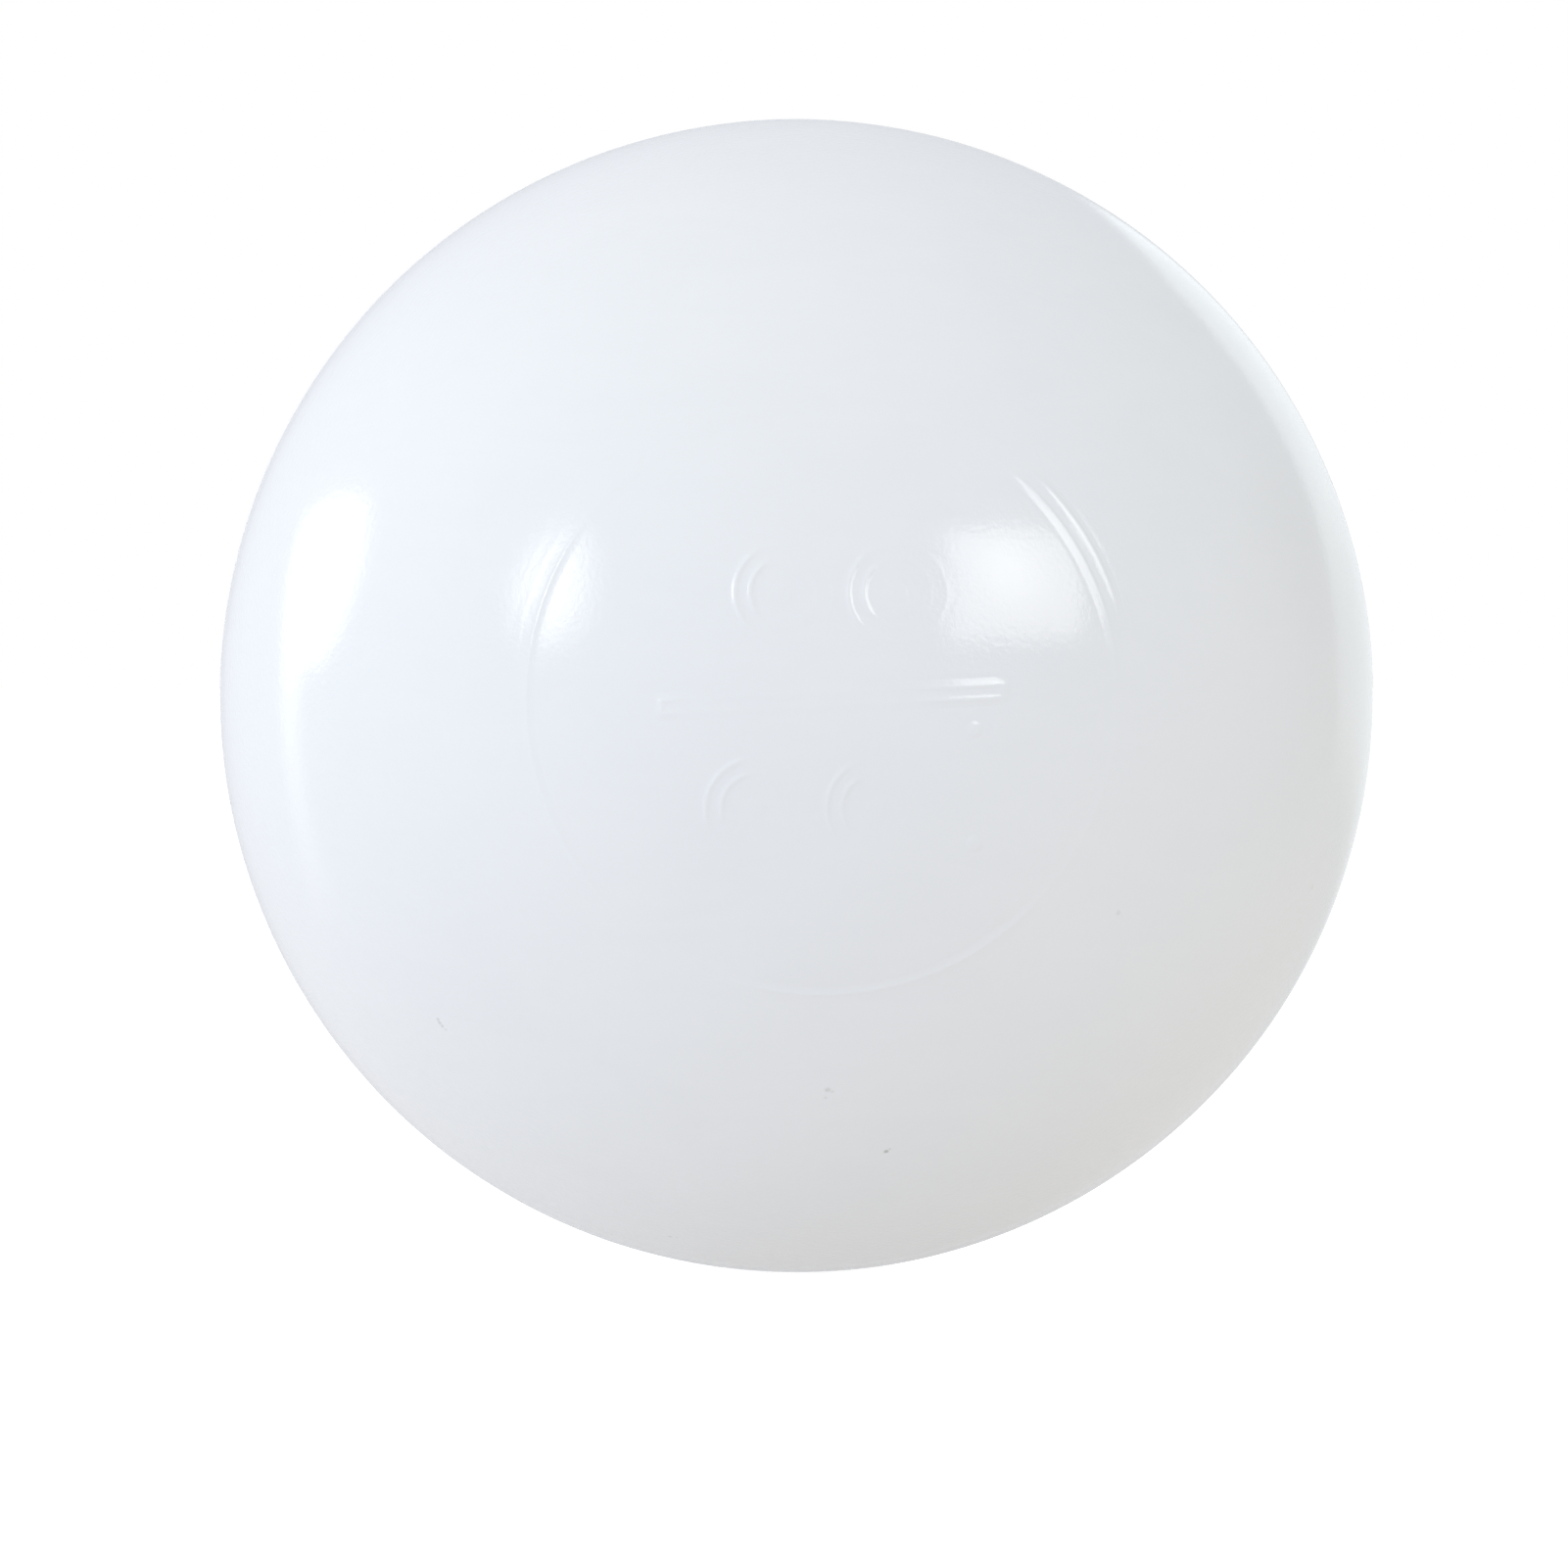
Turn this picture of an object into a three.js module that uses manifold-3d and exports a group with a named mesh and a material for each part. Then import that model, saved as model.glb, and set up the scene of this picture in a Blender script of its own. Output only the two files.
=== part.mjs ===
// A hollow moulded plastic ball, 55 mm across.
// Two thin half shells are fused along the parting plane y = 0. The fusion leaves a
// small bead round the inside. The hole left by the blowing needle at the rear pole is
// closed by a fused plug.
// The front pole (-Y) carries low relief, moulded in one with the front half: a round
// ring, a thin bar and four plain ring-and-dot marks with two small pips.
//
// Millimetres, +Z up, origin at the centre of the ball, the relief facing -Y.
import * as THREE from "three";
import { mergeVertices } from "three/addons/utils/BufferGeometryUtils.js";
import Module from "manifold-3d";

// ---- driving dimensions (mm, degrees) ----
const BALL_DIAMETER = 55.0;
const WALL = 0.5; // wall thickness of both half shells
const RING_RELIEF = 0.18; // how far the ring stands proud
const MARK_RELIEF = 0.15; // how far the bar, marks and pips stand proud
const RELIEF_ROOT = 0.22; // how deep the marks are rooted in the wall

const RING_RADIUS = 13.75; // middle of the raised ring, from the front pole's axis
const RING_WIDTH = 0.85;
const RING_FLANK = 0.14; // width of each sloping side of the ring

const BAR_LENGTH = 16.0;
const BAR_WIDTH = 0.58;
const BAR_CENTRE = [0.35, 0.0]; // x, z
const BAR_TILT = 2.7; // rises towards +X

const MARK_OUTER = 2.4; // outer radius of each ring-and-dot mark
const MARK_STROKE = 1.0;
const MARK_DOT = 0.42;
const MARK_PLACES = [
  [-1.9, 4.86],
  [3.3, 4.86],
  [-3.2, -4.97],
  [2.3, -4.97],
]; // x, z
const PIP_RADIUS = 0.32;
const PIP_PLACES = [
  [6.83, -1.4],
  [6.88, -6.65],
];

const BEAD_HALF_WIDTH = 0.8; // along Y, each side of the parting plane
const BEAD_HEIGHT = 0.5; // inwards from the inner wall

const NEEDLE_HOLE_RADIUS = 0.8;
const PLUG_HEAD_RADIUS = 1.35;
const PLUG_HEAD_HEIGHT = 0.18;
const PLUG_INNER_DOME = 0.25;

const SEGMENTS = 48; // facets round the Y axis
const STEP = 7.5; // degrees between profile points

// ---- derived ----
const R = BALL_DIAMETER / 2;
const R_IN = R - WALL;
const rad = THREE.MathUtils.degToRad;
const deg = THREE.MathUtils.radToDeg;

// Profile point at an angle from the pole on a sphere of radius r; side -1 is the
// front (-Y) pole, +1 the rear one.
const onSphere = (r, angle, side) =>
  new THREE.Vector2(r * Math.sin(rad(angle)), side * r * Math.cos(rad(angle)));

// Angles from one value to another in even steps no longer than STEP.
function angles(from, to) {
  const n = Math.max(1, Math.ceil(Math.abs(to - from) / STEP - 1e-9));
  return Array.from({ length: n + 1 }, (_, i) => from + ((to - from) * i) / n);
}

// ---- solids ----
const wasm = await Module();
wasm.setup();

function toSolid(geometry) {
  const bare = geometry.index ? geometry.toNonIndexed() : geometry.clone();
  for (const name of Object.keys(bare.attributes))
    if (name !== "position") bare.deleteAttribute(name);
  const merged = mergeVertices(bare, 1e-4);
  return new wasm.Manifold(
    new wasm.Mesh({
      numProp: 3,
      vertProperties: new Float32Array(merged.attributes.position.array),
      triVerts: new Uint32Array(merged.index.array),
    }),
  );
}

function toGeometry(solid) {
  const mesh = solid.getMesh();
  const n = mesh.numProp;
  const position = new Float32Array(mesh.numVert * 3);
  for (let i = 0; i < mesh.numVert; i++)
    position.set(mesh.vertProperties.subarray(i * n, i * n + 3), i * 3);
  const geometry = new THREE.BufferGeometry()
    .setAttribute("position", new THREE.BufferAttribute(position, 3))
    .setIndex(new THREE.BufferAttribute(new Uint32Array(mesh.triVerts), 1));
  geometry.computeVertexNormals();
  return geometry;
}

// A closed profile turned about Y, its faces outwards whichever way it was listed.
function turned(points) {
  let area = 0;
  for (let i = 0; i < points.length; i++) {
    const a = points[i];
    const b = points[(i + 1) % points.length];
    area += a.x * b.y - b.x * a.y;
  }
  const listed = area > 0 ? points : [...points].reverse();
  const onAxis = listed[0].x === 0 && listed[listed.length - 1].x === 0;
  return new THREE.LatheGeometry(onAxis ? listed : [...listed, listed[0]], SEGMENTS);
}

// Rotates a closed profile's list so that it starts just after the edge that lies on
// the axis.
function startOnAxis(points) {
  const n = points.length;
  for (let i = 0; i < n; i++)
    if (points[i].x === 0 && points[(i + n - 1) % n].x === 0)
      return [...points.slice(i), ...points.slice(0, i)];
  return points;
}

const lathe = (points) => turned(startOnAxis(points));

// An outline in the X-Z plane, pushed through the front wall along Y.
function throughFront(shape, curveSegments) {
  const g = new THREE.ExtrudeGeometry(shape, {
    depth: R,
    bevelEnabled: false,
    curveSegments,
    steps: 1,
  });
  g.rotateX(Math.PI / 2); // shape's y becomes z, depth runs towards -Y
  g.translate(0, -R * 0.5, 0);
  return toSolid(g);
}

function disc(x, z, radius) {
  const s = new THREE.Shape();
  s.absarc(x, z, radius, 0, Math.PI * 2, false);
  return s;
}

// ---- the inner wall near the seam, shared by both shells and the bead ----
const BEAD_ANGLE = deg(Math.asin(BEAD_HALF_WIDTH / R_IN));

// ---- front half shell ----
const ringMiddle = deg(Math.asin(RING_RADIUS / R));
const ringHalf = deg(RING_WIDTH / 2 / R);
const ringFlank = deg(RING_FLANK / R);

const frontOuter = [
  ...angles(0, ringMiddle - ringHalf).map((a) => onSphere(R, a, -1)),
  onSphere(R + RING_RELIEF, ringMiddle - ringHalf + ringFlank, -1),
  onSphere(R + RING_RELIEF, ringMiddle + ringHalf - ringFlank, -1),
  ...angles(ringMiddle + ringHalf, 90).map((a) => onSphere(R, a, -1)),
];
const innerWall = (side, from) => [
  new THREE.Vector2(R_IN, 0),
  ...angles(90 - BEAD_ANGLE, from).map((a) => onSphere(R_IN, a, side)),
];
const clean = (points) =>
  points.map(
    (p) =>
      new THREE.Vector2(
        Math.abs(p.x) < 1e-9 ? 0 : p.x,
        Math.abs(p.y) < 1e-9 ? 0 : p.y,
      ),
  );
const frontShellPlain = toSolid(
  lathe(clean([...frontOuter, ...innerWall(-1, 0)])),
);

// The layer that the marks are cut from: a cap standing MARK_RELIEF above the outer
// wall, with facets parallel to the wall's own.
const capEdge = ringMiddle - ringHalf;
const markLayer = toSolid(
  lathe(
    clean([
      ...angles(0, capEdge).map((a) => onSphere(R + MARK_RELIEF, a, -1)),
      ...angles(capEdge, 0).map((a) => onSphere(R - RELIEF_ROOT, a, -1)),
    ]),
  ),
);

const barShape = new THREE.Shape();
{
  const c = Math.cos(rad(BAR_TILT));
  const s = Math.sin(rad(BAR_TILT));
  const corners = [
    [-1, -1],
    [1, -1],
    [1, 1],
    [-1, 1],
  ].map(([u, v]) => {
    const a = (u * BAR_LENGTH) / 2;
    const b = (v * BAR_WIDTH) / 2;
    return new THREE.Vector2(
      BAR_CENTRE[0] + a * c - b * s,
      BAR_CENTRE[1] + a * s + b * c,
    );
  });
  barShape.setFromPoints(corners);
}

let relief = throughFront(barShape, 1);
for (const [x, z] of MARK_PLACES) {
  const mark = disc(x, z, MARK_OUTER);
  const eye = new THREE.Path();
  eye.absarc(x, z, MARK_OUTER - MARK_STROKE, 0, Math.PI * 2, true);
  mark.holes.push(eye);
  relief = relief.add(throughFront(mark, 22));
  relief = relief.add(throughFront(disc(x, z, MARK_DOT), 10));
}
for (const [x, z] of PIP_PLACES)
  relief = relief.add(throughFront(disc(x, z, PIP_RADIUS), 8));

const frontShell = frontShellPlain.add(relief.intersect(markLayer));

// ---- rear half shell, with the needle hole at its pole ----
const holeOuter = deg(Math.asin(NEEDLE_HOLE_RADIUS / R));
const holeInner = deg(Math.asin(NEEDLE_HOLE_RADIUS / R_IN));
const headEdge = deg(Math.asin(PLUG_HEAD_RADIUS / R));

const rearShell = lathe(
  clean([
    onSphere(R, holeOuter, 1),
    ...angles(headEdge, 90).map((a) => onSphere(R, a, 1)),
    ...innerWall(1, holeInner),
  ]),
);

// ---- fused bead inside the seam ----
const seamBead = lathe(
  clean([
    onSphere(R_IN, 90 - BEAD_ANGLE, -1),
    new THREE.Vector2(R_IN, 0),
    onSphere(R_IN, 90 - BEAD_ANGLE, 1),
    new THREE.Vector2(R_IN - 0.75 * BEAD_HEIGHT, 0.55 * BEAD_HALF_WIDTH),
    new THREE.Vector2(R_IN - BEAD_HEIGHT, 0),
    new THREE.Vector2(R_IN - 0.75 * BEAD_HEIGHT, -0.55 * BEAD_HALF_WIDTH),
  ]),
);

// ---- plug fused into the needle hole ----
const needlePlug = lathe(
  clean([
    new THREE.Vector2(0, R_IN - PLUG_INNER_DOME),
    new THREE.Vector2(
      0.6 * NEEDLE_HOLE_RADIUS,
      R_IN - 0.75 * PLUG_INNER_DOME,
    ),
    onSphere(R_IN, holeInner, 1),
    onSphere(R, holeOuter, 1),
    onSphere(R, headEdge, 1),
    new THREE.Vector2(0.72 * PLUG_HEAD_RADIUS, R + 0.62 * PLUG_HEAD_HEIGHT),
    new THREE.Vector2(0.36 * PLUG_HEAD_RADIUS, R + 0.92 * PLUG_HEAD_HEIGHT),
    new THREE.Vector2(0, R + PLUG_HEAD_HEIGHT),
  ]),
);

// ---- the ball ----
const plastic = (color, roughness) =>
  new THREE.MeshStandardMaterial({ color, roughness, metalness: 0 });

function piece(name, geometry, material) {
  const mesh = new THREE.Mesh(geometry, material);
  mesh.name = name;
  return mesh;
}

const ball = new THREE.Group();
ball.name = "hollow_ball";
ball.add(
  piece("front_half_shell", toGeometry(frontShell), plastic(0xe6eaf0, 0.22)),
  piece("rear_half_shell", rearShell, plastic(0xe6eaf0, 0.22)),
  piece("seam_weld_bead", seamBead, plastic(0xe0e3e8, 0.45)),
  piece("blow_hole_plug", needlePlug, plastic(0xe0e3e8, 0.4)),
);

export default ball;
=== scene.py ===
"""The looks of a hollow moulded plastic ball, 55 mm across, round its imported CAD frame.

Everything is worked out in millimetres and written in metres. The ball's centre is the
origin, +Z is up and the raised marks face -Y.
"""

import math

import bpy
import numpy as np
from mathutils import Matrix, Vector, geometry


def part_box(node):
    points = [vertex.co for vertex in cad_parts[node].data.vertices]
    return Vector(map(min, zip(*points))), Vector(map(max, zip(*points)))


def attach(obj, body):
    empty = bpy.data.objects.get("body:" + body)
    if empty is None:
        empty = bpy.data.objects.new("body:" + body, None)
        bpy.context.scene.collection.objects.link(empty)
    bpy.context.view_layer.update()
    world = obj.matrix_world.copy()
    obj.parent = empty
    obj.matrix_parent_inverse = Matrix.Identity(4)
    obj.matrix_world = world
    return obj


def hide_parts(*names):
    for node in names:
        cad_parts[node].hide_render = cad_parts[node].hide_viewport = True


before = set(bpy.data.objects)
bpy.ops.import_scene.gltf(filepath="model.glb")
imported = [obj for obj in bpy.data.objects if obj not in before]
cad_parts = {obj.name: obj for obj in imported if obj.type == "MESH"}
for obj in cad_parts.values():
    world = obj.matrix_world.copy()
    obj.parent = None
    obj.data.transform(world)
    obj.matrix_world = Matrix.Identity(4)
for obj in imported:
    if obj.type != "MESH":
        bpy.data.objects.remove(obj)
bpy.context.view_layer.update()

MM = 0.001

# ---- the ball, in mm, as the CAD frame has it ----
R = round(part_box("rear_half_shell")[1].x / MM, 3)  # 27.5
WALL = 0.5
R_IN = R - WALL
RING_ARC = R * math.asin(13.9 / 27.5)  # along the surface, pole to middle of the ring
RING_WIDTH = 1.05
BAR_LENGTH, BAR_WIDTH = 16.0, 0.9
BAR_CENTRE = (0.35, 0.0)
BAR_TILT = math.radians(2.7)
MARK_OUTER, MARK_STROKE, MARK_DOT = 2.4, 1.0, 0.42
MARK_PLACES = ((-1.9, 4.86), (3.3, 4.86), (-3.2, -4.97), (2.3, -4.97))
PIP_RADIUS = 0.32
PIP_PLACES = ((6.83, -1.4), (6.88, -6.65))
BEAD_HALF_WIDTH, BEAD_HEIGHT = 0.8, 0.5
HOLE_RADIUS = 0.8
HEAD_RADIUS, HEAD_HEIGHT = 1.35, 0.18
PLUG_INNER_DOME = 0.25

# ---- finish of the moulding, in mm ----
STEP, FLANK = 0.020, 0.60  # height of a raised mark, and the width over which it rises
LIP, LIP_WIDTH = 0.031, 0.125  # its rim stands prouder than its middle
FOOT = 0.010  # the wall sinks a little round it
CORNER = 0.25  # corner radius of the bar
RIDGE_HEIGHT, RIDGE_WIDTH = 0.035, 0.11  # parting line
SINK_DEPTH, SINK_RADIUS = 0.035, 4.6  # witness of the blowing pin, at the rear pole
COLUMNS = 360
CAP_ANGLE = math.radians(33.0)  # the marks lie inside this


# ---------------------------------------------------------------- surface
def smoother(t):
    t = np.clip(t, 0.0, 1.0)
    return t * t * t * (t * (6 * t - 15) + 10)


def bar_distance(x, z):
    """Distance inside the bar's outline, negative outside."""
    c, s = math.cos(BAR_TILT), math.sin(BAR_TILT)
    u = (x - BAR_CENTRE[0]) * c + (z - BAR_CENTRE[1]) * s
    v = -(x - BAR_CENTRE[0]) * s + (z - BAR_CENTRE[1]) * c
    qu = np.abs(u) - (BAR_LENGTH / 2 - CORNER)
    qv = np.abs(v) - (BAR_WIDTH / 2 - CORNER)
    outside = np.hypot(np.maximum(qu, 0), np.maximum(qv, 0))
    return CORNER - outside - np.minimum(np.maximum(qu, qv), 0)


def swell(turn, middle, half, fade):
    """1 within half of the middle direction, 0 beyond half + fade (degrees)."""
    away = np.abs((turn - middle + 180.0) % 360.0 - 180.0)
    return smoother((half + fade - away) / fade)


def section(d):
    """Height across a raised edge at the distance d inside its outline."""
    lip = LIP * np.exp(-(((d - 0.15) / LIP_WIDTH) ** 2))
    foot = FOOT * np.exp(-(((d + 0.24) / LIP_WIDTH) ** 2))
    return STEP * smoother(d / FLANK + 0.5) + lip - foot


def relief(x, z):
    """Height of the raised marks above the sphere, at a point of the front. The mould's
    engraving is worn, so no mark is equally crisp all along."""
    arc = R * np.arcsin(np.clip(np.hypot(x, z) / R, 0, 1))
    turn = np.degrees(np.arctan2(z, x))
    inner = 0.20 + 0.80 * np.maximum.reduce(
        [
            swell(turn, 30, 11, 15),
            0.55 * swell(turn, 166, 11, 12),
            0.42 * swell(turn, 190, 22, 18),
            0.75 * swell(turn, 284, 18, 22),
        ]
    )
    rim = 0.08 + 0.92 * swell(turn, 32, 8, 11)
    side = smoother((arc - RING_ARC) / 0.5 + 0.5)
    h = (inner * (1 - side) + rim * side) * section(RING_WIDTH / 2 - np.abs(arc - RING_ARC))

    c, s = math.cos(BAR_TILT), math.sin(BAR_TILT)
    u = (x - BAR_CENTRE[0]) * c + (z - BAR_CENTRE[1]) * s
    crisp = 0.18 + 0.82 * smoother((u - 2.6) / 3.0) - 0.5 * smoother((u - 7.3) / 0.6)
    crisp = crisp + 0.7 * np.exp(-(((u + 7.7) / 0.5) ** 2))
    h = h + crisp * section(bar_distance(x, z))

    for (cx, cz), crisp, middle in zip(MARK_PLACES, (1.2, 1.05, 0.9, 0.9), (172, 176, 150, 168)):
        r = np.hypot(x - cx, z - cz)
        turn = np.degrees(np.arctan2(z - cz, x - cx))
        share = crisp * (0.09 + 0.91 * swell(turn, middle, 30, 34))
        d = MARK_STROKE / 2 - np.abs(r - MARK_OUTER + MARK_STROKE / 2)
        h = h + share * (0.2 * section(d) + 1.25 * LIP * np.exp(-(((d - 0.15) / LIP_WIDTH) ** 2)))
        h = h + 0.012 * smoother((MARK_DOT - r) / 0.3 + 0.5)
    for cx, cz in PIP_PLACES:
        h = h + 0.035 * smoother((PIP_RADIUS - np.hypot(x - cx, z - cz)) / 0.3 + 0.5)
    return h


# Slow waves of the wall: (wavelength, direction, phase, height)
WAVES = (
    (19.0, (0.62, 0.31, 0.72), 0.4, 0.0050),
    (14.0, (-0.55, 0.67, 0.50), 2.1, 0.0034),
    (11.0, (0.18, -0.74, 0.65), 4.4, 0.0022),
    (9.0, (0.83, 0.12, -0.54), 1.3, 0.0015),
    (7.0, (-0.29, -0.41, 0.86), 5.2, 0.0008),
)


def ridge(phi):
    """Height of the parting line round the ball. It is never quite even."""
    wobble = (
        1.0
        + 0.16 * np.sin(3 * phi + 0.7)
        + 0.12 * np.sin(7 * phi + 2.9)
        + 0.10 * np.sin(16 * phi + 1.1)
        + 0.06 * np.sin(41 * phi + 4.0)
    )
    return RIDGE_HEIGHT * wobble


def height(n):
    """How far the outer surface stands off the sphere, along the unit directions n."""
    p = n * R
    h = np.zeros(len(n))
    for length, way, phase, tall in WAVES:
        h += tall * np.sin(2 * math.pi / length * (p @ np.array(way)) + phase)
    front = n[:, 1] < -0.8
    if front.any():
        h[front] += relief(p[front, 0], p[front, 2])
    along = R * np.arcsin(np.clip(n[:, 1], -1, 1))
    phi = np.arctan2(n[:, 2], n[:, 0])
    h += ridge(phi) * np.exp(-((along / RIDGE_WIDTH) ** 2))
    rear = R * np.arccos(np.clip(n[:, 1], -1, 1))
    h -= SINK_DEPTH * smoother((SINK_RADIUS - rear) / 1.1)
    return h


def outer(n):
    """Points of the outer surface and their normals, for unit directions n."""
    n = n / np.linalg.norm(n, axis=1)[:, None]
    a = np.cross(n, np.where(np.abs(n[:, 2:]) < 0.9, [[0.0, 0, 1]], [[1.0, 0, 0]]))
    a /= np.linalg.norm(a, axis=1)[:, None]
    b = np.cross(n, a)
    e = 2e-5
    slope = np.zeros_like(n)
    for t in (a, b):
        up = n + e * t
        down = n - e * t
        up /= np.linalg.norm(up, axis=1)[:, None]
        down /= np.linalg.norm(down, axis=1)[:, None]
        slope += t * ((height(up) - height(down)) / (2 * e * R))[:, None]
    normal = n - slope
    normal /= np.linalg.norm(normal, axis=1)[:, None]
    return n * (R + height(n))[:, None], normal


def direction(angle, phi, side):
    """Unit directions at an angle from the pole on that side (-1 front, +1 rear)."""
    angle, phi = np.broadcast_arrays(np.asarray(angle, float), np.asarray(phi, float))
    s = np.sin(angle)
    return np.stack([s * np.cos(phi), side * np.cos(angle), s * np.sin(phi)], -1).reshape(-1, 3)


# ---------------------------------------------------------------- meshes
class Build:
    """Vertices, faces and a normal for each face corner."""

    def __init__(self):
        self.points, self.faces, self.normals, self.count = [], [], [], 0

    def add(self, points):
        first = self.count
        self.points.append(np.asarray(points, float))
        self.count += len(points)
        return np.arange(first, self.count)

    def face(self, corners, normals):
        self.faces.append(tuple(int(i) for i in corners))
        self.normals.extend(normals)

    def strip(self, row_a, row_b, normals_a, normals_b, flip=False):
        """Quads between two closed rows of the same length, or triangles to one point."""
        n = len(row_a)
        for k in range(n):
            m = (k + 1) % n
            if len(row_b) == 1:
                corners = [row_a[k], row_b[0], row_a[m]]
                normals = [normals_a[k], normals_b[0], normals_a[m]]
            else:
                corners = [row_a[k], row_b[k], row_b[m], row_a[m]]
                normals = [normals_a[k], normals_b[k], normals_b[m], normals_a[m]]
            if flip:
                corners.reverse()
                normals.reverse()
            self.face(corners, normals)

    def object(self, name, material):
        points = np.concatenate(self.points) * MM
        mesh = bpy.data.meshes.new(name)
        mesh.from_pydata(points.tolist(), [], self.faces)
        mesh.shade_smooth()
        mesh.normals_split_custom_set([tuple(map(float, v)) for v in self.normals])
        mesh.materials.append(material)
        obj = bpy.data.objects.new(name, mesh)
        bpy.context.scene.collection.objects.link(obj)
        return obj


PHI = np.arange(COLUMNS) * 2 * math.pi / COLUMNS


def wall_rows(build, outer_rows, inner_angles, side, close):
    """From the last row of the outer wall over the cut at the seam and back along the
    inner wall. outer_rows is a list of (row, normals)."""
    flip = side > 0
    for (a, na), (b, nb) in zip(outer_rows, outer_rows[1:]):
        build.strip(a, b, na, nb, flip)
    cut = [(0.0, -side, 0.0)] * COLUMNS
    last = outer_rows[-1][0]
    n = direction(math.pi / 2, PHI, side)
    row = build.add(n * R_IN)
    build.strip(last, row, cut, cut, flip)
    normals = -n
    for angle in inner_angles:
        if angle == 0:
            pole = build.add([(0.0, side * R_IN, 0.0)])
            build.strip(row, pole, normals, [(0.0, -side, 0.0)], flip)
            return None
        n = direction(angle, PHI, side)
        new = build.add(n * R_IN)
        build.strip(row, new, normals, -n, flip)
        row, normals = new, -n
    return row


SEAM_STEPS = (3.2, 2.2, 1.5, 1.0, 0.65, 0.42, 0.3, 0.22, 0.16, 0.11, 0.07, 0.035, 0.0)


def outer_angles(first):
    """Angles from first to the seam, closer together beside the parting line."""
    near = [math.pi / 2 - s / R for s in SEAM_STEPS]
    n = math.ceil((near[0] - first) / math.radians(1.25))
    return list(np.linspace(first, near[0], n + 1)) + near[1:]


def outlines():
    """Closed outlines in the x-z plane along every raised edge, with the flanks' rows."""
    loops = []
    across = (-0.52, -0.40, -0.28, -0.17, -0.08, 0.0, 0.08, 0.16, 0.25, 0.34, 0.44)
    short = (-0.24, -0.15, -0.06, 0.03, 0.12, 0.21)

    def circle(cx, cz, r, n):
        t = np.arange(n) * 2 * math.pi / n
        return np.stack([cx + r * np.cos(t), cz + r * np.sin(t)], 1)

    for edge in (-1, 1):
        for s in across:
            arc = RING_ARC + edge * (RING_WIDTH / 2 - s)
            loops.append(circle(0, 0, R * math.sin(arc / R), 480))
    for cx, cz in MARK_PLACES:
        loops += [circle(cx, cz, MARK_OUTER - s, 120) for s in across]
        loops += [circle(cx, cz, MARK_OUTER - MARK_STROKE + s, 80) for s in across]
        loops += [circle(cx, cz, MARK_DOT - s, 30) for s in short]
    for cx, cz in PIP_PLACES:
        loops += [circle(cx, cz, PIP_RADIUS - s, 28) for s in short]
    c, s_ = math.cos(BAR_TILT), math.sin(BAR_TILT)
    for s in across:
        r = max(CORNER - s, 0.02)
        cut = max(0.0, s - CORNER + 0.02)
        if cut > 0.16:
            continue
        half_u, half_v = BAR_LENGTH / 2 - CORNER - cut, BAR_WIDTH / 2 - CORNER - cut
        points = []
        for k, (su, sv) in enumerate(((1, 1), (-1, 1), (-1, -1), (1, -1))):
            for i in range(9):
                t = math.pi / 2 * (k + i / 8)
                points.append((su * half_u + r * math.cos(t), sv * half_v + r * math.sin(t)))
        full = []
        for i, p in enumerate(points):
            q = points[(i + 1) % len(points)]
            n = max(1, math.ceil(math.hypot(q[0] - p[0], q[1] - p[1]) / 0.3))
            full += [
                (p[0] + (q[0] - p[0]) * j / n, p[1] + (q[1] - p[1]) * j / n) for j in range(n)
            ]
        full = np.array(full)
        loops.append(
            np.stack(
                [
                    BAR_CENTRE[0] + full[:, 0] * c - full[:, 1] * s_,
                    BAR_CENTRE[1] + full[:, 0] * s_ + full[:, 1] * c,
                ],
                1,
            )
        )
    return loops


def near_edge(x, z):
    """Distance to the nearest raised edge."""
    arc = R * np.arcsin(np.clip(np.hypot(x, z) / R, 0, 1))
    d = np.abs(np.abs(arc - RING_ARC) - RING_WIDTH / 2)
    d = np.minimum(d, np.abs(bar_distance(x, z)))
    for cx, cz in MARK_PLACES:
        r = np.hypot(x - cx, z - cz)
        for edge in (MARK_OUTER, MARK_OUTER - MARK_STROKE, MARK_DOT):
            d = np.minimum(d, np.abs(r - edge))
    for cx, cz in PIP_PLACES:
        d = np.minimum(d, np.abs(np.hypot(x - cx, z - cz) - PIP_RADIUS))
    return d


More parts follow.
